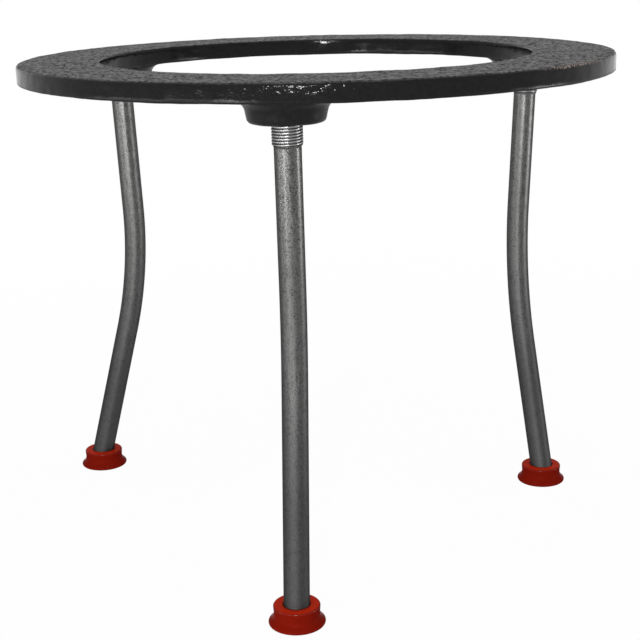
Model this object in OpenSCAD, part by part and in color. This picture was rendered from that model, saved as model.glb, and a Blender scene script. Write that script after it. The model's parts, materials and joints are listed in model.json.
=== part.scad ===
// Lab tripod stand: a cast iron ring on three bent steel legs with rubber feet.
// Millimetres, +Z up. The origin is on the ring's axis, at the floor.
// The front leg stands on the -Y side.

/* [Ring] */
// Diameter of the opening
ring_bore = 129; // [90:1:170]
// Width of the ring's flat band
band_w = 24; // [20:0.5:35]
// Thickness of the ring's flat band
ring_t = 5.2; // [4:0.1:9]
// Radius of the ring's upper edges
ring_top_edge = 1.2; // [0.3:0.1:1.8]
// Radius of the ring's lower edges
ring_low_edge = 0.6; // [0.3:0.1:1.2]
// Height of the ring's top face above the floor
stand_h = 144.5; // [115:0.5:260]

/* [Bosses] */
// Diameter of a boss at its lower end
boss_end_d = 19.6; // [14:0.2:24]
// How much a boss's radius grows up to the ring
boss_draft = 1.2; // [0.2:0.1:2]
// How far a boss hangs below the ring
boss_drop = 5.6; // [4:0.1:14]
// Radius of the fillet between boss and ring
boss_fillet = 2; // [0.4:0.1:3]
// Radius of the boss's lower edge
boss_edge = 0.8; // [0.3:0.1:1.5]
// Direction of the front boss, counted from +X
front_boss_angle = 264.3; // [255:0.1:285]
// Direction of the left boss
left_boss_angle = 148.2; // [135:0.1:165]
// Direction of the right boss
right_boss_angle = 26.3; // [15:0.1:45]
// Iron left above the blind threaded holes
hole_roof = 2.5; // [1.5:0.1:4]

/* [Legs] */
// Outer diameter of the rolled thread at the rod's top
thread_d = 8; // [6:0.1:10]
// How much rolling the thread raised it above the plain rod
thread_rise = 0.45; // [0.3:0.05:0.6]
// Length of thread seen below a boss
thread_shown = 6.3; // [2:0.1:15]
// Radial gap between the thread and its hole
thread_gap = 0.1; // [0.05:0.01:0.2]
// Inward lean of the straight upper part of each leg, in degrees
leg_lean = 2.8; // [0:0.1:6]
// Straight length from the boss to the bend
straight_top = 42.5; // [20:0.5:60]
// Radius of the rod's centre line in the bend
bend_r = 146; // [60:1:220]
// Outward bend of the left leg, in degrees
bend_left = 16.5; // [8:0.5:20]
// Outward bend of the front leg, in degrees
bend_front = 11; // [8:0.5:20]
// Outward bend of the right leg, in degrees
bend_right = 18.5; // [8:0.5:20]
// How far the left leg's bend is turned about its thread, in degrees
turn_left = 32; // [-90:1:90]
// How far the front leg's bend is turned about its thread, in degrees
turn_front = -1; // [-90:1:90]
// How far the right leg's bend is turned about its thread, in degrees
turn_right = -88; // [-90:1:90]
// Chamfer on both ends of a rod
rod_chamfer = 0.5; // [0.2:0.1:1]

/* [Feet] */
// Rubber round the rod at the foot's waist
foot_wall = 2.65; // [1.8:0.05:4]
// How far the rim stands out from the waist
foot_rim_flare = 0.15; // [0:0.05:1]
// How far the base stands out from the waist
foot_base_flare = 1.5; // [0.8:0.05:3]
// Radius of the base's round edge
foot_base_edge = 0.6; // [0.4:0.05:0.9]
// Radius of the hollow flank between base and waist
foot_flank_r = 2.6; // [1.8:0.1:4]
// Height of a foot
foot_h = 5.6; // [4.8:0.1:14]
// Radius of the rim's outer edge
foot_rim_edge = 0.5; // [0.3:0.05:0.8]
// Rubber under the end of the rod, measured along the rod
foot_sole = 2; // [1.5:0.1:3]
// Radial gap between the rod and its socket
socket_gap = 0.05; // [0.02:0.01:0.1]

/* [Hidden] */
$fn = 96;

FRONT = 0;
LEFT = 1;
RIGHT = 2;
bend = [bend_front, bend_left, bend_right];
turn = [turn_front, turn_left, turn_right];
boss_angle = [front_boss_angle, left_boss_angle, right_boss_angle];

bore_r = ring_bore / 2;
ring_r = bore_r + band_w;
boss_r = bore_r + band_w / 2;
ring_bottom = stand_h - ring_t;
boss_end = ring_bottom - boss_drop;
hole_depth = ring_t + boss_drop - hole_roof;
thread_r = thread_d / 2;
rod_r = thread_r - thread_rise;
socket_r = rod_r + socket_gap;
waist_r = socket_r + foot_wall;
rim_r = waist_r + foot_rim_flare;
base_r = waist_r + foot_base_flare;
// The straight rods reach this far into the ends of the bend, which is drawn slightly
// slimmer so that the rods' surfaces close over it.
bend_lap = 1;
bend_slimming = 0.02;
// A hollow round runs this far past its tangents, so that it meets its neighbours at clean edges.
tangent_dip = 0.06;
// The bosses' fillets stop this far inside the ring's rounded lower edges.
fillet_margin = 0.05;
// How far out and up the flank's centre lies from the centre of the base's round edge.
flank_out = waist_r + foot_flank_r - base_r + foot_base_edge;
flank_up = sqrt(pow(foot_flank_r + foot_base_edge, 2) - pow(flank_out, 2)) - tangent_dip;
waist_h = foot_base_edge + flank_up;

// Turns of a vector about the Y and Z axes.
function turned_y(a, v) = [v.x * cos(a) + v.z * sin(a), v.y, v.z * cos(a) - v.x * sin(a)];
function turned_z(a, v) = [v.x * cos(a) - v.y * sin(a), v.x * sin(a) + v.y * cos(a), v.z];
// A direction of a leg's own frame, seen in the stand's frame.
function leg_dir(i, v) = turned_z(boss_angle[i], turned_y(leg_lean, turned_z(turn[i], v)));
// The end of the bend in the leg's own frame, which starts at the boss and runs down -Z.
function bend_end(i) = [bend_r * (1 - cos(bend[i])), 0, -straight_top - bend_r * sin(bend[i])];
// Height of the bend's end, slope of the lower rod, and its length down to the floor.
function bend_end_z(i) = boss_end + leg_dir(i, bend_end(i)).z;
function lower_dir(i) = leg_dir(i, [sin(bend[i]), 0, -cos(bend[i])]);
function lower_len(i) = -bend_end_z(i) / lower_dir(i).z;
// The rod's axis at a height, and the place of a foot, whose rim the rod enters in the middle.
function rod_point(i, z) = turned_z(boss_angle[i], [boss_r, 0, boss_end])
    + leg_dir(i, bend_end(i)) + lower_dir(i) * (z - bend_end_z(i)) / lower_dir(i).z;
function foot_place(i) = rod_point(i, foot_h) - [0, 0, foot_h];

// A rectangle from [0, 0] whose lower and upper corners are rounded.
module round_rect(w, h, low, top) {
    polygon([[low, 0], [w - low, 0], [w, low], [w, h - top],
             [w - top, h], [top, h], [0, h - top], [0, low]]);
    for (x = [low, w - low])
        translate([x, low]) circle(low);
    for (x = [top, w - top])
        translate([x, h - top]) circle(top);
}

// Places its children at a boss's lower end, in the leg's own frame.
module at_leg(i) {
    rotate([0, 0, boss_angle[i]])
        translate([boss_r, 0, boss_end])
            rotate([0, leg_lean, 0])
                rotate([0, 0, turn[i]])
                    children();
}

// Places its children at the end of a leg's bend, with Z up along the lower rod.
module at_lower_rod(i) {
    at_leg(i)
        translate(bend_end(i))
            rotate([0, -bend[i], 0])
                children();
}

// Outline of a boss: a tapered plug with a filleted root and a rounded lower edge.
// Its x is the radius from the boss's axis and its y is the height above the lower end.
module boss_outline() {
    end = boss_end_d / 2;
    top = boss_drop + ring_t / 2;
    side = atan(boss_draft / (boss_drop - boss_edge));
    fillet_y = boss_drop - boss_fillet + tangent_dip;
    fillet_x = end + (fillet_y - boss_edge) * tan(side) + boss_fillet / cos(side) - tangent_dip;
    meet_y = fillet_y + boss_fillet * sin(side);
    meet_x = end + (meet_y - boss_edge) * tan(side);
    difference() {
        union() {
            polygon([[0, 0], [end - boss_edge, 0], [end, boss_edge], [meet_x, meet_y],
                     [fillet_x, meet_y], [fillet_x, top], [0, top]]);
            translate([end - boss_edge, boss_edge]) circle(boss_edge);
        }
        translate([fillet_x, fillet_y]) circle(boss_fillet);
    }
}

// The flat band, which keeps the bosses' fillets inside the ring's rounded edges.
module boss_limits() {
    inset = ring_low_edge + fillet_margin;
    translate([0, 0, boss_end - 1])
        difference() {
            cylinder(r = ring_r - inset, h = ring_t + boss_drop);
            translate([0, 0, -1])
                cylinder(r = bore_r + inset, h = ring_t + boss_drop + 2);
        }
}

module cast_ring() {
    color("#26272a")
        difference() {
            union() {
                translate([0, 0, ring_bottom])
                    rotate_extrude()
                        translate([bore_r, 0])
                            round_rect(band_w, ring_t, ring_low_edge, ring_top_edge);
                intersection() {
                    for (a = boss_angle)
                        rotate([0, 0, a])
                            translate([boss_r, 0, boss_end])
                                rotate_extrude() boss_outline();
                    boss_limits();
                }
            }
            for (i = [FRONT, LEFT, RIGHT])
                at_leg(i)
                    translate([0, 0, -boss_drop])
                        cylinder(r = thread_r + thread_gap, h = boss_drop + hole_depth);
        }
}

// One leg: threaded top, straight shank, bend, and the lower rod down into its foot.
module leg(i) {
    color("#8d8e90") {
        at_leg(i) {
            rotate_extrude()
                polygon([[0, -straight_top - bend_lap], [rod_r, -straight_top - bend_lap],
                         [rod_r, -thread_shown], [thread_r, thread_rise - thread_shown],
                         [thread_r, hole_depth - rod_chamfer],
                         [thread_r - rod_chamfer, hole_depth], [0, hole_depth]]);
            translate([bend_r, 0, -straight_top])
                rotate([-90, 0, 180])
                    rotate_extrude(angle = bend[i])
                        translate([bend_r, 0]) circle(rod_r - bend_slimming);
        }
        at_lower_rod(i)
            rotate_extrude()
                polygon([[0, foot_sole - lower_len(i)],
                         [rod_r - rod_chamfer, foot_sole - lower_len(i)],
                         [rod_r, foot_sole - lower_len(i) + rod_chamfer],
                         [rod_r, bend_lap], [0, bend_lap]]);
    }
}

// Outline of a foot: a base with a round edge, a hollow flank up to the waist, and a rim.
module foot_outline() {
    meet = base_r - foot_base_edge + flank_out * foot_base_edge / (foot_flank_r + foot_base_edge);
    difference() {
        union() {
            polygon([[0, 0], [base_r - foot_base_edge, 0], [meet, foot_base_edge],
                     [meet, waist_h], [0, waist_h]]);
            translate([base_r - foot_base_edge, foot_base_edge]) circle(foot_base_edge);
        }
        translate([waist_r + foot_flank_r, waist_h]) circle(foot_flank_r);
    }
    polygon([[0, foot_base_edge], [waist_r, foot_base_edge], [waist_r, waist_h],
             [rim_r, foot_h - foot_rim_edge], [rim_r - foot_rim_edge, foot_h], [0, foot_h]]);
    translate([rim_r - foot_rim_edge, foot_h - foot_rim_edge]) circle(foot_rim_edge);
}

// One foot: it stands level, and its socket follows the slope of the rod.
module foot(i) {
    color("#8f1d10")
        difference() {
            translate(foot_place(i)) rotate_extrude() foot_outline();
            at_lower_rod(i)
                translate([0, 0, foot_sole - lower_len(i)])
                    cylinder(r = socket_r, h = 2 * foot_h);
        }
}

module leg_front() leg(FRONT);
module leg_left() leg(LEFT);
module leg_right() leg(RIGHT);
module foot_front() foot(FRONT);
module foot_left() foot(LEFT);
module foot_right() foot(RIGHT);

cast_ring();
leg_front();
leg_left();
leg_right();
foot_front();
foot_left();
foot_right();
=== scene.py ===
import json
import logging
import math
from dataclasses import dataclass, field
from enum import Enum
from typing import Callable

import bmesh
import bpy
from mathutils import Matrix, Vector, noise


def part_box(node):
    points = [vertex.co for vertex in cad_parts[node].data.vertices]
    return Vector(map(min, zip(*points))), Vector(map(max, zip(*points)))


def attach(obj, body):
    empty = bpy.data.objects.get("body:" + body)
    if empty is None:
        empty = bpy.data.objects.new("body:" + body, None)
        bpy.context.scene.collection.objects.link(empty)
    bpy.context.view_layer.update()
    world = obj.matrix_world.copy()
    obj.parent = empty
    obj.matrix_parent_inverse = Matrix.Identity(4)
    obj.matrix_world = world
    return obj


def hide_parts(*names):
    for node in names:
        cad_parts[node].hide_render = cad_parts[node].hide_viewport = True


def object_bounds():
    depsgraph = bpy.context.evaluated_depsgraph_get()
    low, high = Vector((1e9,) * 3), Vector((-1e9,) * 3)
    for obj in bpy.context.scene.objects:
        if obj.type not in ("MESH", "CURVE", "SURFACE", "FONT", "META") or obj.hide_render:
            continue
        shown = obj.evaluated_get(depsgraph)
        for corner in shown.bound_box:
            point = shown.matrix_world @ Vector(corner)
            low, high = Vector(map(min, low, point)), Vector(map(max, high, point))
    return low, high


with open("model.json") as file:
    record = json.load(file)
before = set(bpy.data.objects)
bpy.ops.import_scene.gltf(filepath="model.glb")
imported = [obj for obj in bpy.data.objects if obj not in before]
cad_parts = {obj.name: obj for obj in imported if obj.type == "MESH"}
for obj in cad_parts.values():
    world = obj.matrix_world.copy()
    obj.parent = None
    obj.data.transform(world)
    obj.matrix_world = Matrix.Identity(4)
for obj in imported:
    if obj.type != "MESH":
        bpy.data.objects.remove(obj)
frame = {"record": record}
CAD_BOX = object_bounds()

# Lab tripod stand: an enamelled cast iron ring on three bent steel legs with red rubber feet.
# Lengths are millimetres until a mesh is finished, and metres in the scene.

MM = 0.001
LOG = logging.getLogger("lab_tripod_stand")

Section = list[tuple[float, float]]
Limits = tuple[float, float]
Place = tuple[float, float, float]


class Slot(Enum):
    """The record's material slots."""

    ENAMEL = "ring_enamel"
    STEEL = "leg_steel"
    RUBBER = "foot_rubber"


# ---------------------------------------------------------------- shader helpers

def linear(code: str) -> tuple[float, float, float, float]:
    """Turns an sRGB hex colour to the linear colour that a shader reads.

    Args:
        code: The colour, such as "#26272a".

    Returns:
        Red, green, blue and an alpha of 1.
    """
    channels = [int(code[i:i + 2], 16) / 255 for i in (1, 3, 5)]
    curve = [c / 12.92 if c <= 0.04045 else ((c + 0.055) / 1.055) ** 2.4 for c in channels]
    return (*curve, 1.0)


def add_node(tree: bpy.types.NodeTree, kind: str, inputs: dict | None = None,
             **settings: object) -> bpy.types.Node:
    """Adds one node with its settings, and fills or links its sockets.

    Args:
        tree: The node tree that the node joins.
        kind: The node's type, without the leading "ShaderNode".
        inputs: Values or output sockets, by the name or number of the socket that they fill.
        **settings: The node's own properties.

    Returns:
        The new node.
    """
    made = tree.nodes.new("ShaderNode" + kind)
    for name, value in settings.items():
        setattr(made, name, value)
    for name, value in (inputs or {}).items():
        if isinstance(value, bpy.types.NodeSocket):
            tree.links.new(value, made.inputs[name])
        else:
            made.inputs[name].default_value = value
    return made


def new_material(name: str) -> tuple[bpy.types.Material, bpy.types.NodeTree]:
    """Makes an empty node material.

    Args:
        name: The material's name.

    Returns:
        The material and its cleared node tree.
    """
    material = bpy.data.materials.new(name)
    material.use_nodes = True
    material.node_tree.nodes.clear()
    return material, material.node_tree


def per_mm(size: float) -> float:
    """The scale of a pattern, on coordinates in metres, whose features are size millimetres."""
    return 1 / (size * MM)


def span(limits: Limits, side: str = "From") -> dict[str, float]:
    """The two sockets that limit one side of a Map Range node.

    Args:
        limits: The first and the last value.
        side: "From" for what goes in, or "To" for what comes out.

    Returns:
        The values, by the sockets' names.
    """
    return {f"{side} Min": limits[0], f"{side} Max": limits[1]}


# ---------------------------------------------------------------- mesh helpers

def rounded_section(points: Section, corners: dict[int, tuple[float, int]]) -> bmesh.types.BMesh:
    """Draws a closed section in the XZ plane and rounds some of its corners.

    Args:
        points: Radius and height of each corner, in order.
        corners: Radius and number of segments of the round at a corner, by the corner's number.

    Returns:
        A bmesh that holds the section's outline as edges.
    """
    mesh = bmesh.new()
    verts = [mesh.verts.new((x, 0, z)) for x, z in points]
    mesh.faces.new(verts)
    for number, (radius, segments) in corners.items():
        bmesh.ops.bevel(mesh, geom=[verts[number]], offset=radius, offset_type="OFFSET",
                        segments=segments, profile=0.5, affect="VERTICES", material=-1,
                        clamp_overlap=False)
    bmesh.ops.delete(mesh, geom=mesh.faces[:], context="FACES_ONLY")
    return mesh


def arc(x: float, z: float, radius: float, start: float, end: float, steps: int) -> Section:
    """Lists points along an arc.

    Args:
        x: The centre's distance from the axis.
        z: The centre's height.
        radius: The arc's radius.
        start: The first point's direction, in degrees from the X axis.
        end: The last point's direction.
        steps: The number of steps between them.

    Returns:
        The points, ends included.
    """
    turns = [math.radians(start + (end - start) * i / steps) for i in range(steps + 1)]
    return [(x + radius * math.cos(t), z + radius * math.sin(t)) for t in turns]


def split_long_edges(mesh: bmesh.types.BMesh, length: float) -> None:
    """Subdivides every edge that is longer than length.

    Args:
        mesh: The outline to refine.
        length: The longest edge that stays.
    """
    for edge in mesh.edges[:]:
        cuts = math.ceil(edge.calc_length() / length) - 1
        if cuts > 0:
            bmesh.ops.subdivide_edges(mesh, edges=[edge], cuts=cuts)


def spin_full(mesh: bmesh.types.BMesh, steps: int) -> None:
    """Turns an outline once round the Z axis into a closed skin.

    Args:
        mesh: The outline, in the XZ plane.
        steps: The number of steps of the turn.
    """
    bmesh.ops.spin(mesh, geom=mesh.verts[:] + mesh.edges[:], cent=(0, 0, 0), axis=(0, 0, 1),
                   angle=math.tau, steps=steps, use_merge=True, use_duplicate=False)
    bmesh.ops.remove_doubles(mesh, verts=mesh.verts[:], dist=0.001)
    bmesh.ops.recalc_face_normals(mesh, faces=mesh.faces[:])


def move_points(mesh: bmesh.types.BMesh, rule: Callable[[Vector], Vector]) -> None:
    """Puts each vertex where a rule says.

    Args:
        mesh: The mesh to shape.
        rule: Gives a vertex's new place for its old one.
    """
    for vert in mesh.verts:
        vert.co = rule(vert.co)


def joined(parts: list[bmesh.types.BMesh]) -> bmesh.types.BMesh:
    """Puts several skins into one bmesh. The parts are freed.

    Args:
        parts: The skins.

    Returns:
        One bmesh that holds them all.
    """
    whole = bmesh.new()
    for part in parts:
        scratch = bpy.data.meshes.new("scratch")
        part.to_mesh(scratch)
        part.free()
        whole.from_mesh(scratch)
        bpy.data.meshes.remove(scratch)
    return whole


def combined(base: bmesh.types.BMesh, tool: bmesh.types.BMesh,
             operation: str) -> bmesh.types.BMesh:
    """Unites two closed skins, or cuts one out of the other. Both are freed.

    Args:
        base: The skin to change.
        tool: The skin to add or to cut away.
        operation: "UNION" or "DIFFERENCE".

    Returns:
        The new skin.
    """
    holders = []
    for mesh in (base, tool):
        data = bpy.data.meshes.new("scratch")
        mesh.to_mesh(data)
        mesh.free()
        holders.append(bpy.data.objects.new("scratch", data))
        bpy.context.scene.collection.objects.link(holders[-1])
    modifier = holders[0].modifiers.new("combine", "BOOLEAN")
    modifier.operation = operation
    modifier.solver = "EXACT"
    modifier.object = holders[1]
    result = bmesh.new()
    result.from_mesh(holders[0].evaluated_get(bpy.context.evaluated_depsgraph_get()).to_mesh())
    for holder in holders:
        data = holder.data
        bpy.data.objects.remove(holder)
        bpy.data.meshes.remove(data)
    bmesh.ops.triangulate(result, faces=[f for f in result.faces if len(f.verts) > 4])
    return result


def smooth_step(low: float, high: float, value: float) -> float:
    """0 below low, 1 above high, and a smooth rise between them."""
    share = min(max((value - low) / (high - low), 0.0), 1.0)
    return share * share * (3 - 2 * share)


def finish_piece(name: str, mesh: bmesh.types.BMesh, material: bpy.types.Material, node: str) -> bpy.types.Object:
    """Turns a bmesh in millimetres into a finished piece of the stand.

    Args:
        name: The piece's name.
        mesh: Its mesh, in place, in millimetres. It is freed.
        material: Its material.
        node: The CAD node that it stands for.

    Returns:
        The new object, at the origin, riding on the stand's one body.
    """
    bmesh.ops.scale(mesh, vec=(MM, MM, MM), verts=mesh.verts[:])
    data = bpy.data.meshes.new(name)
    mesh.to_mesh(data)
    mesh.free()
    data.shade_smooth()
    data.materials.append(material)
    piece = bpy.data.objects.new(name, data)
    bpy.context.scene.collection.objects.link(piece)
    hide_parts(node)
    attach(piece, "root")
    LOG.info("%s: %d faces, for %s", name, len(data.polygons), node)
    return piece


# ---------------------------------------------------------------- finishes

class Surface:
    """Where a point of a finish lies and how it faces, as sockets of one node tree.

    Coordinates are the stand's own, in metres. Facing is the upright part of the surface's
    normal, from -1 where it faces down to 1 where it faces up.
    """

    def __init__(self, tree: bpy.types.NodeTree) -> None:
        """Adds the nodes that read the coordinates.

        Args:
            tree: The finish's node tree.
        """
        source = add_node(tree, "TexCoord")
        normal = add_node(tree, "SeparateXYZ", {"Vector": source.outputs["Normal"]})
        self.place = source.outputs["Object"]
        self.height = add_node(tree, "SeparateXYZ", {"Vector": self.place}).outputs["Z"]
        self.facing = normal.outputs["Z"]


@dataclass(frozen=True)
class StovedEnamel:
    """Black stoving enamel flooded over sand-cast iron.

    The enamel is a thin glossy film over the iron's skin, so it glitters under a lamp and turns
    grey where it is seen at a low angle. It ran off the top face, where the sand's grain shows,
    and the skin is coarser beside the boss where the iron was poured. One stretch of the upper
    edge is chipped to rust. Sizes are millimetres.
    """

    body: str = "#131314"
    thin: str = "#2b2b2b"
    rust: str = "#a08d86"
    # The upright part of the normal, from the walls to the top face and from the walls to below.
    top_faces: Limits = (0.4, 0.95)
    under_faces: Limits = (-0.03, -0.12)
    # The sand's grain, shallow on the walls and deeper on the top face.
    grain: float = 1.0
    wall_depth: float = 0.03
    top_depth: float = 0.25
    # Pits where sand stuck to the iron of the top face.
    pit: float = 1.5
    pit_depth: float = 0.12
    pit_slope: Limits = (0.10, 0.40)
    # Lumps where the enamel gathered.
    lump: float = 5.0
    lump_depth: float = 0.12
    lump_share: Limits = (0.35, 0.65)
    # Ripples in the upper part of the wall where the iron was poured.
    ripple: float = 1.9
    ripple_depth: float = 0.34
    poured_reach: float = 36.0
    poured_height: float = 4.0
    # The film on the top face, tight on the grain's tops and open between them.
    top_grain: float = 1.1
    tight_share: Limits = (0.42, 0.54)
    wall_share: float = 0.12
    # Specks of rust along the upper edge. Real ones are finer, and would not show.
    chip: float = 0.4
    chip_share: Limits = (0.54, 0.60)
    chipped_reach: float = 17.0
    edge: float = 0.9
    # The gloss of the film, and the roughness of each part of it.
    film: float = 0.08
    wall_rough: Limits = (0.09, 0.15)
    under_rough: float = 0.34
    open_rough: float = 0.85
    tight_rough: float = 0.36
    rust_rough: float = 0.8

    def near(self, tree: bpy.types.NodeTree, surface: Surface, point: Vector,
             reach: float) -> bpy.types.NodeSocket:
        """Masks the surface round a point.

        Args:
            tree: The node tree.
            surface: The surface.
            point: The middle of the mask, in metres.
            reach: Where the mask ends, in millimetres from the point.

        Returns:
            1 at the point, falling to 0 at the mask's end.
        """
        away = add_node(tree, "VectorMath", {0: surface.place, 1: point}, operation="DISTANCE")
        return add_node(tree, "MapRange", {
            "Value": away.outputs["Value"], **span((0.3 * reach * MM, reach * MM)),
            **span((1.0, 0.0), "To")}).outputs["Result"]

    def relief(self, tree: bpy.types.NodeTree, surface: Surface, upward: bpy.types.NodeSocket,
               lump: bpy.types.NodeSocket, rim: Vector, poured: Vector) -> bpy.types.NodeSocket:
        """Lays the pits, the grain, the poured ripples and the lumps over each other.

        Args:
            tree: The node tree.
            surface: The surface.
            upward: 0 on the walls and 1 on the top face.
            lump: The pattern of the lumps.
            rim: Radius and height of the ring's upper edge, as X and Z.
            poured: The place where the iron was poured.

        Returns:
            The rough surface's normal.
        """
        grain = add_node(tree, "TexNoise", {"Vector": surface.place, "Scale": per_mm(self.grain),
                                            "Detail": 3.0, "Roughness": 0.55})
        pit = add_node(tree, "TexVoronoi", {"Vector": surface.place, "Scale": per_mm(self.pit)},
                       feature="F1")
        hollow = add_node(tree, "MapRange", {"Value": pit.outputs["Distance"],
                                             **span(self.pit_slope)})
        ripple = add_node(tree, "TexNoise", {"Vector": surface.place,
                                             "Scale": per_mm(self.ripple), "Detail": 2.0})
        raised = add_node(tree, "MapRange", {
            "Value": surface.height, **span((rim.z - self.poured_height * MM,
                                             rim.z - self.poured_height * MM / 2))})
        rippled = add_node(tree, "Math", {
            0: self.near(tree, surface, poured, self.poured_reach),
            1: raised.outputs["Result"]}, operation="MULTIPLY")
        depth = add_node(tree, "Mix", {"Factor": upward, "A": self.wall_depth * MM,
                                       "B": self.top_depth * MM})
        pits = add_node(tree, "Bump", {"Strength": upward, "Distance": self.pit_depth * MM,
                                       "Height": hollow.outputs["Result"]})
        grains = add_node(tree, "Bump", {"Strength": 1.0, "Distance": depth.outputs[0],
                                         "Height": grain.outputs["Fac"],
                                         "Normal": pits.outputs["Normal"]})
        ripples = add_node(tree, "Bump", {"Strength": rippled.outputs["Value"],
                                          "Height": ripple.outputs["Fac"],
                                          "Distance": self.ripple_depth * MM,
                                          "Normal": grains.outputs["Normal"]})
        lumps = add_node(tree, "Bump", {"Strength": 1.0, "Distance": self.lump_depth * MM,
                                        "Height": lump, "Normal": ripples.outputs["Normal"]})
        return lumps.outputs["Normal"]

    def rusting(self, tree: bpy.types.NodeTree, surface: Surface, rim: Vector,
                chipped: Vector) -> bpy.types.NodeSocket:
        """Masks the specks of rust along a stretch of the upper edge.

        Args:
            tree: The node tree.
            surface: The surface.
            rim: Radius and height of the ring's upper edge, as X and Z.
            chipped: The middle of the stretch.

        Returns:
            1 in a speck and 0 elsewhere.
        """
        flat = add_node(tree, "VectorMath", {0: surface.place, 1: (1, 1, 0)},
                        operation="MULTIPLY")
        radius = add_node(tree, "VectorMath", {0: flat.outputs["Vector"]}, operation="LENGTH")
        speck = add_node(tree, "TexNoise", {"Vector": surface.place, "Scale": per_mm(self.chip),
                                            "Detail": 1.0})
        masks = [add_node(tree, "MapRange", {
            "Value": value, **span((end - self.edge * MM, end - self.edge * MM / 2))})
            for value, end in ((radius.outputs["Value"], rim.x), (surface.height, rim.z))]
        masks.append(add_node(tree, "MapRange", {"Value": speck.outputs["Fac"],
                                                 **span(self.chip_share)}))
        rusty = self.near(tree, surface, chipped, self.chipped_reach)
        for mask in masks:
            rusty = add_node(tree, "Math", {0: rusty, 1: mask.outputs["Result"]},
                             operation="MULTIPLY").outputs["Value"]
        return rusty

    def material(self, rim: Vector, poured: Vector, chipped: Vector) -> bpy.types.Material:
        """Builds the enamel.

        Args:
            rim: Radius and height of the ring's upper edge, in metres, as X and Z.
            poured: The place beside the boss where the iron was poured, in metres.
            chipped: The middle of the chipped stretch of the edge, in metres.

        Returns:
            The finished material.
        """
        material, tree = new_material("stoved_enamel_on_cast_iron")
        surface = Surface(tree)
        upward = add_node(tree, "MapRange", {"Value": surface.facing,
                                             **span(self.top_faces)}).outputs["Result"]
        lump = add_node(tree, "TexNoise", {"Vector": surface.place, "Scale": per_mm(self.lump),
                                           "Detail": 1.0}).outputs["Fac"]
        rusty = self.rusting(tree, surface, rim, chipped)
        crust = add_node(tree, "TexNoise", {"Vector": surface.place,
                                            "Scale": per_mm(self.top_grain), "Detail": 4.0,
                                            "Roughness": 0.75})
        tight = add_node(tree, "MapRange", {"Value": crust.outputs["Fac"],
                                            **span(self.tight_share)}).outputs["Result"]
        spread = add_node(tree, "MapRange", {"Value": upward, "To Min": self.wall_share})
        thin = add_node(tree, "Math", {0: tight, 1: spread.outputs["Result"]},
                        operation="MULTIPLY")
        film = add_node(tree, "Mix", {"Factor": thin.outputs["Value"], 6: linear(self.body),
                                      7: linear(self.thin)}, data_type="RGBA")
        colour = add_node(tree, "Mix", {"Factor": rusty, 6: film.outputs[2],
                                        7: linear(self.rust)}, data_type="RGBA")
        gloss = add_node(tree, "MapRange", {"Value": lump, **span(self.lump_share),
                                            **span(self.wall_rough, "To")})
        under = add_node(tree, "MapRange", {"Value": surface.facing, **span(self.under_faces)})
        wall = add_node(tree, "Mix", {"Factor": under.outputs["Result"],
                                      "A": gloss.outputs["Result"], "B": self.under_rough})
        top = add_node(tree, "Mix", {"Factor": tight, "A": self.open_rough,
                                     "B": self.tight_rough})
        skin = add_node(tree, "Mix", {"Factor": upward, "A": wall.outputs[0],
                                      "B": top.outputs[0]})
        rough = add_node(tree, "Mix", {"Factor": rusty, "A": skin.outputs[0],
                                       "B": self.rust_rough})
        shader = add_node(tree, "BsdfPrincipled", {
            "Base Color": colour.outputs[2], "Roughness": rough.outputs[0],
            "Specular IOR Level": self.film,
            "Normal": self.relief(tree, surface, upward, lump, rim, poured)})
        add_node(tree, "OutputMaterial", {"Surface": shader.outputs["BSDF"]})
        return material


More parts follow.
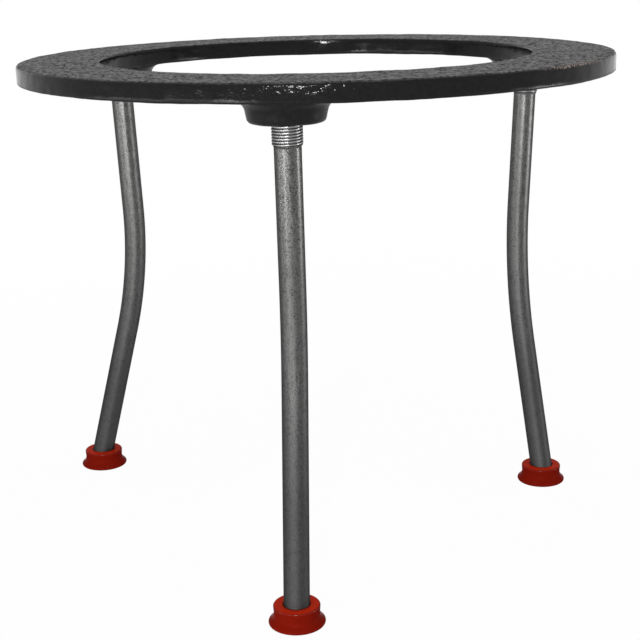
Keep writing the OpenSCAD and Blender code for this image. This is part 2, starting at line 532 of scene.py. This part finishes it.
@dataclass(frozen=True)
class DrawnSteel:
    """Mild steel rod, drawn and then reeled straight, with a thread rolled on its top.

    Reeling turns the rod between rolls, and its fine marks round the rod stretch a highlight
    along it. Rolling burnishes the thread brighter than the rest. The steel's colour is darker,
    and the steel rougher, toward the foot. Sizes are millimetres, along the straight rod.
    """

    body: str = "#636362"
    dull: str = "#343434"
    foot_tone: str = "#444444"
    burnished: str = "#8c8c8c"
    rim: str = "#b0b0b0"
    # The mottle that drawing leaves. It is finer on real rod, and would not show.
    grain: float = 0.45
    stretch: float = 0.85
    grain_depth: float = 0.05
    cloud: float = 2.0
    cloud_share: float = 0.2
    tone: Limits = (0.40, 0.66)
    # The reeling marks, as the share of the highlight's stretch and its quarter turn.
    marks: float = 0.35
    marks_turn: float = 0.25
    rough: Limits = (0.28, 0.38)
    rough_grain: Limits = (0.3, 0.7)
    # Where, along the rod, the colour turns darker and the steel rougher toward the foot.
    toward_foot: Limits = (-6.0, -105.0)
    foot_rough: float = 0.24
    # How far above the thread's end the burnish starts, and where it is full.
    burnish: Limits = (0.3, 1.3)

    def material(self, thread_end: float) -> bpy.types.Material:
        """Builds the steel.

        Args:
            thread_end: Where the thread ends along the rod, in millimetres.

        Returns:
            The finished material.
        """
        material, tree = new_material("drawn_mild_steel")
        place = add_node(tree, "Attribute", attribute_name="along_rod",
                         attribute_type="GEOMETRY").outputs["Vector"]
        along = add_node(tree, "SeparateXYZ", {"Vector": place}).outputs["Z"]
        drawn = add_node(tree, "Mapping", {"Vector": place, "Scale": (1, 1, self.stretch)})
        grain = add_node(tree, "TexNoise", {"Vector": drawn.outputs["Vector"],
                                            "Scale": 1 / self.grain, "Detail": 3.0,
                                            "Roughness": 0.6}).outputs["Fac"]
        cloud = add_node(tree, "TexNoise", {"Vector": drawn.outputs["Vector"],
                                            "Scale": 1 / self.cloud, "Detail": 2.0})
        both = add_node(tree, "Math", {0: cloud.outputs["Fac"], 1: self.cloud_share, 2: grain},
                        operation="MULTIPLY_ADD")
        tone = add_node(tree, "MapRange", {"Value": both.outputs["Value"], **span(self.tone)})
        # The colour is darker toward the foot.
        toward_foot = add_node(tree, "MapRange", {"Value": along,
                                              **span(self.toward_foot)}).outputs["Result"]
        bright = add_node(tree, "Mix", {"Factor": toward_foot, 6: linear(self.body),
                                        7: linear(self.foot_tone)}, data_type="RGBA")
        colour = add_node(tree, "Mix", {"Factor": tone.outputs["Result"], 6: linear(self.dull),
                                        7: bright.outputs[2]}, data_type="RGBA")
        thread = add_node(tree, "MapRange", {
            "Value": along, **span((thread_end + self.burnish[0], thread_end + self.burnish[1]))})
        metal = add_node(tree, "Mix", {"Factor": thread.outputs["Result"], 6: colour.outputs[2],
                                       7: linear(self.burnished)}, data_type="RGBA")
        rough = add_node(tree, "MapRange", {"Value": grain, **span(self.rough_grain),
                                            **span(self.rough, "To")})
        duller = add_node(tree, "Math", {0: toward_foot, 1: self.foot_rough,
                                         2: rough.outputs["Result"]}, operation="MULTIPLY_ADD")
        relief = add_node(tree, "Bump", {"Strength": 1.0, "Distance": self.grain_depth * MM,
                                         "Height": grain})
        shader = add_node(tree, "BsdfPrincipled", {
            "Base Color": metal.outputs[2], "Roughness": duller.outputs["Value"],
            "Metallic": 1.0, "Specular Tint": linear(self.rim), "Anisotropic": self.marks,
            "Anisotropic Rotation": self.marks_turn, "Normal": relief.outputs["Normal"]})
        add_node(tree, "OutputMaterial", {"Surface": shader.outputs["BSDF"]})
        return material


@dataclass(frozen=True)
class RedRubber:
    """Red rubber, pressed in a steel mould, so it is close-grained and a little glossy.

    Its walls are a darker red, and the rim's top is painted a lighter red: painted light from
    above. The mould was polished at the rim, so the round of the rim glints. Sizes are millimetres.
    """

    body: str = "#681107"
    bloom: str = "#6e1308"
    # The lighter red painted on the rim's top: painted light from above.
    painted_top_light: str = "#a8260f"
    # The upright part of the normal, from the walls to the rim's top.
    painted_top_faces: Limits = (0.85, 0.97)
    rough_faces: Limits = (0.0, 0.6)
    # The grain of the rubber. The real one is finer, and would not show.
    grain: float = 0.5
    grain_depth: float = 0.02
    patch: float = 3.0
    sheen_level: float = 0.006
    rough: Limits = (0.6, 0.16)
    # The glint: its depth below the rim, how its part of the round faces, and its gloss.
    glint_depth: Limits = (1.0, 0.6)
    glint_facing: float = 0.42
    glint_spread: float = 0.1
    rim_gloss: float = 0.6
    rim_gloss_rough: float = 0.12

    def material(self, rim_height: float) -> bpy.types.Material:
        """Builds the rubber.

        Args:
            rim_height: The height of the foot's rim, in millimetres.

        Returns:
            The finished material.
        """
        material, tree = new_material("moulded_red_rubber")
        surface = Surface(tree)
        grain = add_node(tree, "TexNoise", {"Vector": surface.place, "Scale": per_mm(self.grain),
                                            "Detail": 3.0})
        patch = add_node(tree, "TexNoise", {"Vector": surface.place, "Scale": per_mm(self.patch),
                                            "Detail": 2.0})
        colour = add_node(tree, "Mix", {"Factor": patch.outputs["Fac"], 6: linear(self.body),
                                        7: linear(self.bloom)}, data_type="RGBA")
        # The upward faces get the lighter red: painted light on the rim's top.
        upward = add_node(tree, "MapRange", {"Value": surface.facing,
                                             **span(self.painted_top_faces)})
        skin = add_node(tree, "Mix", {"Factor": upward.outputs["Result"], 6: colour.outputs[2],
                                      7: linear(self.painted_top_light)}, data_type="RGBA")
        rough = add_node(tree, "MapRange", {"Value": surface.facing, **span(self.rough_faces),
                                            **span(self.rough, "To")})
        relief = add_node(tree, "Bump", {"Strength": 1.0, "Distance": self.grain_depth * MM,
                                         "Height": grain.outputs["Fac"]})
        low, high = self.glint_depth
        upper = add_node(tree, "MapRange", {
            "Value": surface.height, **span(((rim_height - low) * MM, (rim_height - high) * MM)),
            "To Max": self.rim_gloss})
        rounded = add_node(tree, "Math", {0: surface.facing, 1: self.glint_facing,
                                          2: self.glint_spread}, operation="COMPARE")
        polished = add_node(tree, "Math", {0: upper.outputs["Result"],
                                           1: rounded.outputs["Value"]}, operation="MULTIPLY")
        shader = add_node(tree, "BsdfPrincipled", {
            "Base Color": skin.outputs[2], "Roughness": rough.outputs["Result"],
            "Specular IOR Level": self.sheen_level, "Normal": relief.outputs["Normal"],
            "Coat Weight": polished.outputs["Value"], "Coat Roughness": self.rim_gloss_rough})
        add_node(tree, "OutputMaterial", {"Surface": shader.outputs["BSDF"]})
        return material


# ---------------------------------------------------------------- the stand

@dataclass
class CastRing:
    """The ring and its three bosses, one iron casting.

    Heights and the outer radius come from the frame, and the opening from the record.
    """

    thickness: float = 5.2
    boss_angles: tuple[float, ...] = (264.3, 148.2, 26.3)
    boss_end_r: float = 9.8
    boss_root_r: float = 11.0
    boss_fillet: float = 2.6
    boss_edge: float = 0.9
    top_edge: float = 0.9
    inner_edge: float = 0.5
    low_edge: float = 0.5
    hole_r: float = 4.1
    hole_roof: float = 2.5
    lean: float = 2.8
    chipped_at: float = -39.0
    poured_at: float = -91.0
    # The relief of the sand mould: long waves and short lumps, each a length and a height.
    waves: tuple[float, float] = (11.0, 0.12)
    lumps: tuple[float, float] = (3.6, 0.07)
    # How far a boss's fillet stays inside the band's lower face and its two walls.
    face_margin: float = 0.05
    wall_margin: float = 0.25
    drill_overrun: float = 3.0
    finish: StovedEnamel = field(default_factory=StovedEnamel)

    def __post_init__(self) -> None:
        """Reads the ring's place from the frame."""
        low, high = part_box("cast_ring")
        bore = next(m for m in frame["record"]["mounts"] if m["name"] == "ring_opening")
        self.top = high.z / MM
        self.boss_end = low.z / MM
        self.outer_r = high.x / MM
        self.bore_r = bore["dims"]["r_mm"]
        self.bottom = self.top - self.thickness
        self.boss_r = (self.outer_r + self.bore_r) / 2
        self.hole_depth = self.top - self.boss_end - self.hole_roof

    def boss_matrix(self, angle: float) -> Matrix:
        """The place of a boss's lower end, with Z along the threaded hole.

        Args:
            angle: The boss's direction, in degrees from +X.

        Returns:
            The matrix that takes a point of the hole's frame to the stand's.
        """
        return (Matrix.Rotation(math.radians(angle), 4, "Z")
                @ Matrix.Translation((self.boss_r, 0, self.boss_end))
                @ Matrix.Rotation(math.radians(self.lean), 4, "Y"))

    def band(self) -> bmesh.types.BMesh:
        """Models the flat band.

        Returns:
            The band's closed skin.
        """
        inner, outer = self.bore_r, self.outer_r
        mesh = rounded_section(
            [(inner, self.bottom), (outer, self.bottom), (outer, self.top), (inner, self.top)],
            {0: (self.low_edge, 4), 1: (self.low_edge, 4), 2: (self.top_edge, 6),
             3: (self.inner_edge, 4)})
        split_long_edges(mesh, length=1.1)
        spin_full(mesh, steps=540)
        return mesh

    def boss(self, angle: float) -> bmesh.types.BMesh:
        """Models one boss, with its root sunk into the band and its fillet cut to the band.

        Args:
            angle: The boss's direction, in degrees from +X.

        Returns:
            The boss's closed skin, in place.
        """
        top = self.bottom + self.thickness / 2
        flare = self.boss_root_r + self.boss_fillet
        # The fillet stops just inside the band, so that its skin crosses the band's cleanly.
        root = self.bottom + self.face_margin
        mesh = rounded_section(
            [(0, 0), (self.boss_end_r, 0), (self.boss_root_r, root - self.boss_end),
             (flare, root - self.boss_end), (flare, top - self.boss_end),
             (0, top - self.boss_end)],
            {1: (self.boss_edge, 5), 2: (self.boss_fillet, 8)})
        split_long_edges(mesh, length=0.8)
        spin_full(mesh, steps=128)
        place = (Matrix.Rotation(math.radians(angle), 4, "Z")
                 @ Matrix.Translation((self.boss_r, 0, self.boss_end)))
        bmesh.ops.transform(mesh, matrix=place, verts=mesh.verts[:])
        least, most = self.bore_r + self.wall_margin, self.outer_r - self.wall_margin

        def keep_in_band(point: Vector) -> Vector:
            """Brings a point of the flare back between the band's two walls."""
            reach = math.hypot(point.x, point.y)
            share = min(max(reach, least), most) / reach
            return Vector((point.x * share, point.y * share, point.z))

        move_points(mesh, keep_in_band)
        return mesh

    def hole(self, angle: float) -> bmesh.types.BMesh:
        """Models the space of one threaded hole, a cylinder that leans with its rod.

        Args:
            angle: The boss's direction, in degrees from +X.

        Returns:
            The hole's closed skin, in place.
        """
        start = -self.drill_overrun
        mesh = rounded_section([(0, start), (self.hole_r, start), (self.hole_r, self.hole_depth),
                                (0, self.hole_depth)], {})
        spin_full(mesh, steps=64)
        bmesh.ops.transform(mesh, matrix=self.boss_matrix(angle), verts=mesh.verts[:])
        return mesh

    def casting(self) -> bmesh.types.BMesh:
        """Fuses the band and bosses into one skin, as the iron is, and drills it.

        Returns:
            The casting's closed skin.
        """
        bosses = joined([self.boss(angle) for angle in self.boss_angles])
        holes = joined([self.hole(angle) for angle in self.boss_angles])
        return combined(combined(self.band(), bosses, "UNION"), holes, "DIFFERENCE")

    def roughen(self, mesh: bmesh.types.BMesh) -> None:
        """Gives the skin the uneven relief of a sand mould.

        Args:
            mesh: The casting.
        """
        mesh.normal_update()
        normals = [v.normal.copy() for v in mesh.verts]
        for vert, normal in zip(mesh.verts, normals):
            vert.co += normal * sum(noise.noise(vert.co / length) * height
                                    for length, height in (self.waves, self.lumps))

    def build(self) -> bpy.types.Object:
        """Builds the ring.

        Returns:
            The finished piece.
        """
        mesh = self.casting()
        self.roughen(mesh)
        rim = Vector((self.outer_r, 0, self.top)) * MM
        poured, chipped = (Matrix.Rotation(math.radians(angle), 3, "Z") @ rim
                           for angle in (self.poured_at, self.chipped_at))
        material = self.finish.material(rim, poured, chipped)
        return finish_piece("ring_casting", mesh, material, "cast_ring")


@dataclass
class Leg:
    """One rod: thread rolled on its top, bent once, cut square at the foot."""

    side: str
    boss_angle: float
    turn: float
    bend: float
    ring: CastRing
    straight: float = 42.5
    bend_r: float = 146.0
    rod_r: float = 3.55
    crest_r: float = 4.0
    crest_round: float = 0.1
    root_r: float = 3.55
    pitch: float = 0.75
    thread_shown: float = 6.3
    # The thread grows from the shank over this many pitches.
    runout: float = 1.2
    # The share of the way from crest to root where the crest's round ends.
    crest_share: float = 0.45
    sole: float = 2.0
    chamfer: float = 0.5

    def __post_init__(self) -> None:
        """Works out the rod's frames and lengths."""
        self.bend_angle = math.radians(self.bend)
        self.at_boss = (self.ring.boss_matrix(self.boss_angle)
                        @ Matrix.Rotation(math.radians(self.turn), 4, "Z"))
        self.bend_end = self.at_boss @ self.centre(self.bend_angle)
        down = Vector((math.sin(self.bend_angle), 0, -math.cos(self.bend_angle)))
        self.down = (self.at_boss.to_3x3() @ down).normalized()
        self.lower = -self.bend_end.z / self.down.z

    def rod_at(self, height: float) -> Vector:
        """The point of the lower rod's axis at a height above the floor."""
        return self.bend_end + self.down * (height - self.bend_end.z) / self.down.z

    def centre(self, angle: float) -> Vector:
        """The rod's centre in the bend, in the boss's frame, after turning by angle radians."""
        return Vector((self.bend_r * (1 - math.cos(angle)), 0,
                       -self.straight - self.bend_r * math.sin(angle)))

    def bent(self, point: Vector) -> Vector:
        """Moves a point of the straight rod to its place on the bent one.

        Args:
            point: The point, with the boss's lower end at Z 0 and the rod going down.

        Returns:
            Its place in the boss's frame.
        """
        past = -self.straight - point.z
        if past <= 0:
            return point
        angle = min(past / self.bend_r, self.bend_angle)
        rest = past - angle * self.bend_r
        along = Vector((math.sin(angle), 0, -math.cos(angle)))
        across = Vector((math.cos(angle), 0, math.sin(angle)))
        return self.centre(angle) + along * rest + across * point.x + Vector((0, point.y, 0))

    def threaded(self, point: Vector) -> Vector:
        """Moves a point of the rod's top out to a crest or in to a root.

        Args:
            point: The point on the straight rod.

        Returns:
            The point on the threaded rod.
        """
        radius = math.hypot(point.x, point.y)
        if point.z < -self.thread_shown or radius < self.rod_r - self.chamfer / 2:
            return point
        turns = math.atan2(point.y, point.x) / math.tau
        # From 0 on a crest to 1 in a root. Rolling leaves the crests broad and slightly round.
        fall = 1 - abs(2 * ((point.z / self.pitch - turns) % 1) - 1)
        full = (self.crest_r - self.crest_round * fall * fall
                - (self.crest_r - self.crest_round - self.root_r)
                * smooth_step(self.crest_share, 1.0, fall))
        grown = smooth_step(-self.thread_shown, self.runout * self.pitch - self.thread_shown,
                            point.z)
        target = self.rod_r + (full - self.rod_r) * grown
        return Vector((point.x * target / radius, point.y * target / radius, point.z))

    def build(self, finish: DrawnSteel) -> bpy.types.Object:
        """Builds the leg.

        Args:
            finish: The steel.

        Returns:
            The finished piece.
        """
        end = -self.straight - self.bend_angle * self.bend_r - self.lower + self.sole
        top = self.ring.hole_depth
        inner = self.rod_r - self.chamfer
        mesh = bmesh.new()
        line = [(0, top), (inner, top), (self.rod_r, top - self.chamfer),
                (self.rod_r, -self.thread_shown), (self.rod_r, end + self.chamfer), (inner, end),
                (0, end)]
        verts = [mesh.verts.new((x, 0, z)) for x, z in line]
        edges = [mesh.edges.new(pair) for pair in zip(verts, verts[1:])]
        threaded, plain = edges[2], edges[3]
        steps_per_turn, plain_step = 16, 1.5
        rings = math.ceil((top + self.thread_shown) / self.pitch * steps_per_turn)
        bmesh.ops.subdivide_edges(mesh, edges=[threaded], cuts=rings)
        rings = math.ceil((-self.thread_shown - end) / plain_step)
        bmesh.ops.subdivide_edges(mesh, edges=[plain], cuts=rings)
        spin_full(mesh, steps=64)
        move_points(mesh, self.threaded)
        along = mesh.verts.layers.float_vector.new("along_rod")
        for vert in mesh.verts:
            vert[along] = vert.co
        move_points(mesh, self.bent)
        bmesh.ops.transform(mesh, matrix=self.at_boss, verts=mesh.verts[:])
        return finish_piece(f"{self.side}_rod", mesh, finish.material(-self.thread_shown),
                            f"leg_{self.side}")


@dataclass
class Foot:
    """One moulded foot. It stands level, and its socket follows the slope of its rod."""

    leg: Leg
    wall: float = 2.65
    rim_flare: float = 0.15
    rim_edge: float = 0.5
    base_flare: float = 1.5
    base_edge: float = 0.6
    flank_r: float = 2.6
    height: float = 5.6
    socket_gap: float = 0.05

    def __post_init__(self) -> None:
        """Works out the foot's radii."""
        self.socket = self.leg.rod_r + self.socket_gap
        self.waist = self.socket + self.wall
        self.rim = self.waist + self.rim_flare
        self.base = self.waist + self.base_flare

    def outline(self) -> Section:
        """Draws the section: a base with a round edge, a hollow flank, a waist and a rim.

        Returns:
            Radius and height of each point, from the axis under the foot to the axis in the
            socket.
        """
        reach = self.flank_r + self.base_edge
        out = self.waist + self.flank_r - self.base + self.base_edge
        up = math.sqrt(reach * reach - out * out)
        lean = math.degrees(math.atan2(up, out))
        edge, rim = self.base_edge, self.rim_edge
        return [(0, 0), *arc(self.base - edge, edge, edge, -90, lean, 9),
                *arc(self.waist + self.flank_r, edge + up, self.flank_r, 180 + lean, 180, 12),
                *arc(self.rim - rim, self.height - rim, rim, 0, 90, 7),
                (self.socket, self.height), (self.socket, self.leg.sole), (0, self.leg.sole)]

    def build(self, finish: RedRubber) -> bpy.types.Object:
        """Builds the foot.

        Args:
            finish: The rubber.

        Returns:
            The finished piece.
        """
        mesh = bmesh.new()
        verts = [mesh.verts.new((x, 0, z)) for x, z in self.outline()]
        for pair in zip(verts, verts[1:]):
            mesh.edges.new(pair)
        split_long_edges(mesh, length=0.6)
        spin_full(mesh, steps=96)
        tilt = Vector((0, 0, 1)).rotation_difference(-self.leg.down).to_matrix()
        middle = self.leg.rod_at(self.height) - Vector((0, 0, self.height))
        floor = self.leg.rod_at(0)
        depth = self.height - self.leg.sole
        just_outside = self.socket + 0.001

        def place(point: Vector) -> Vector:
            """Puts a point of the level body or of the slanted socket in its place."""
            if math.hypot(point.x, point.y) > just_outside or point.z < self.leg.sole:
                return middle + point
            offset = floor + tilt @ Vector((point.x, point.y, 0))
            low = offset - self.leg.down * self.leg.sole
            high = offset - self.leg.down * (self.height - offset.z) / -self.leg.down.z
            return low.lerp(high, (point.z - self.leg.sole) / depth)

        move_points(mesh, place)
        return finish_piece(f"{self.leg.side}_rubber_foot", mesh,
                            finish.material(self.height), f"foot_{self.leg.side}")


# ---------------------------------------------------------------- the studio

@dataclass(frozen=True)
class Lamp:
    """One rectangular lamp that faces the stand's axis.

    Lengths are in metres. The width is level, and a white background has a radiance of 1.
    """

    name: str
    place: Place
    aim_height: float
    width: float
    height: float
    radiance: float

    def build(self) -> None:
        """Adds the lamp."""
        data = bpy.data.lights.new(self.name, "AREA")
        data.shape = "RECTANGLE"
        data.size, data.size_y = self.width, self.height
        # A lamp of P watts and area A has a radiance of P / (pi A).
        data.energy = self.radiance * math.pi * self.width * self.height
        lamp = bpy.data.objects.new(self.name, data)
        bpy.context.scene.collection.objects.link(lamp)
        aim = Vector((0, 0, self.aim_height)) - Vector(self.place)
        lamp.location = self.place
        lamp.rotation_euler = aim.to_track_quat("-Z", "Y").to_euler()


@dataclass
class Studio:
    """A white floor and surround, a broad soft lamp above, four small lamps, and the camera.

    The small lamps stand in front and at the sides. The enamel and the steel mirror them, and
    the upright faces that they reach have most of their light from them.
    The camera's place and lens are in millimetres, its turns in radians, and the rest in metres.
    """

    camera_back: float = 410.96
    camera_above_top: float = 30.86
    pitch: float = 0.27087
    yaw: float = -0.00156
    roll: float = 0.0240
    lens: float = 75.53
    sensor: float = 36.0
    paper: str = "#dcdcdc"
    floor_half: float = 9.0
    floor_gap: float = 0.00005
    glow_share: float = 0.97
    shadow_reach: float = 0.5
    fill: float = 0.2
    lamps: tuple[Lamp, ...] = (
        Lamp("key_lamp", (-0.05, -0.56, 0.19), 0.08, 0.03, 0.03, 640.0),
        Lamp("streak_lamp", (-0.226, -0.416, 0.03), 0.03, 0.08, 0.05, 42.0),
        Lamp("left_lamp", (-0.47, -0.27, 0.03), 0.03, 0.42, 0.05, 9.0),
        Lamp("right_lamp", (0.49, -0.055, 0.03), 0.03, 0.13, 0.05, 27.0),
        Lamp("top_lamp", (0.0, 0.05, 0.90), 0.08, 0.70, 0.70, 3.8))

    def camera(self) -> None:
        """Places the camera in front of the stand, looking slightly down."""
        data = bpy.data.cameras.new("camera")
        data.sensor_width = self.sensor
        data.sensor_fit = "HORIZONTAL"
        data.lens = self.lens
        data.clip_start = 0.01
        data.clip_end = 60.0
        camera = bpy.data.objects.new("camera", data)
        bpy.context.scene.collection.objects.link(camera)
        eye = Vector((0, -self.camera_back * MM, CAD_BOX[1].z + self.camera_above_top * MM))
        camera.matrix_world = (Matrix.Translation(eye)
                               @ Matrix.Rotation(-self.yaw, 4, "Z")
                               @ Matrix.Rotation(math.pi / 2 - self.pitch, 4, "X")
                               @ Matrix.Rotation(-self.roll, 4, "Z"))
        bpy.context.scene.camera = camera

    def seen_rays(self, tree: bpy.types.NodeTree) -> bpy.types.NodeSocket:
        """1 for the rays that show the background: camera, glossy and transmission rays.

        Args:
            tree: The tree of the floor or the world.

        Returns:
            The socket that carries that number.
        """
        path = add_node(tree, "LightPath")
        some = add_node(tree, "Math", {0: path.outputs["Is Camera Ray"],
                                       1: path.outputs["Is Glossy Ray"]}, operation="MAXIMUM")
        seen = add_node(tree, "Math", {0: some.outputs["Value"],
                                       1: path.outputs["Is Transmission Ray"]},
                        operation="MAXIMUM")
        return seen.outputs["Value"]

    def floor(self) -> None:
        """Lays a white floor, just under the feet, that keeps a faint shadow of the stand."""
        mesh = bmesh.new()
        bmesh.ops.create_grid(mesh, x_segments=1, y_segments=1, size=self.floor_half,
                              matrix=Matrix.Translation((0, 0, -self.floor_gap)))
        data = bpy.data.meshes.new("floor")
        mesh.to_mesh(data)
        mesh.free()
        floor = bpy.data.objects.new("floor", data)
        bpy.context.scene.collection.objects.link(floor)
        material, tree = new_material("white_paper_sweep")
        # The paper takes shadows round the stand, and is plain white farther out.
        away = add_node(tree, "VectorMath", {0: add_node(tree, "TexCoord").outputs["Object"]},
                        operation="LENGTH")
        share = add_node(tree, "MapRange", {
            "Value": away.outputs["Value"], **span((self.shadow_reach / 3, self.shadow_reach)),
            **span((self.glow_share, 1.0), "To")})
        glow_share = add_node(tree, "Math", {0: self.seen_rays(tree), 1: share.outputs["Result"]},
                              operation="MULTIPLY")
        paper = add_node(tree, "BsdfDiffuse", {"Color": linear(self.paper)})
        glow = add_node(tree, "Emission", {"Color": (1, 1, 1, 1), "Strength": 1.0})
        mix = add_node(tree, "MixShader", {0: glow_share.outputs["Value"],
                                           1: paper.outputs["BSDF"],
                                           2: glow.outputs["Emission"]})
        # Seen from below it is clear, so that the underside of the stand shows.
        below = add_node(tree, "NewGeometry").outputs["Backfacing"]
        clear = add_node(tree, "BsdfTransparent")
        sheet = add_node(tree, "MixShader", {0: below, 1: mix.outputs["Shader"],
                                             2: clear.outputs["BSDF"]})
        add_node(tree, "OutputMaterial", {"Surface": sheet.outputs["Shader"]})
        data.materials.append(material)

    def world(self) -> None:
        """Surrounds the stand with soft light, and shows it as white."""
        world = bpy.data.worlds.new("white_surround")
        world.use_nodes = True
        tree = world.node_tree
        tree.nodes.clear()
        strength = add_node(tree, "MapRange", {"Value": self.seen_rays(tree),
                                               **span((self.fill, 1.0), "To")})
        light = add_node(tree, "Background", {"Color": (1, 1, 1, 1),
                                              "Strength": strength.outputs["Result"]})
        add_node(tree, "OutputWorld", {"Surface": light.outputs["Background"]})
        bpy.context.scene.world = world

    def build(self) -> None:
        """Builds the whole studio."""
        self.camera()
        self.floor()
        self.world()
        for lamp in self.lamps:
            lamp.build()
        bpy.context.scene.view_settings.view_transform = "Standard"


def main() -> None:
    """Builds the studio and the stand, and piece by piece."""
    logging.basicConfig(level=logging.INFO, format="%(name)s: %(message)s")
    Studio().build()
    ring = CastRing()
    ring.build()
    front, left, right = ring.boss_angles
    steel, rubber = DrawnSteel(), RedRubber()
    legs = [Leg("front", front, turn=-1, bend=11, ring=ring),
            Leg("left", left, turn=32, bend=16.5, ring=ring),
            Leg("right", right, turn=-88, bend=18.5, ring=ring)]
    for leg in legs:
        leg.build(steel)
        Foot(leg).build(rubber)


if __name__ == "__main__":
    main()
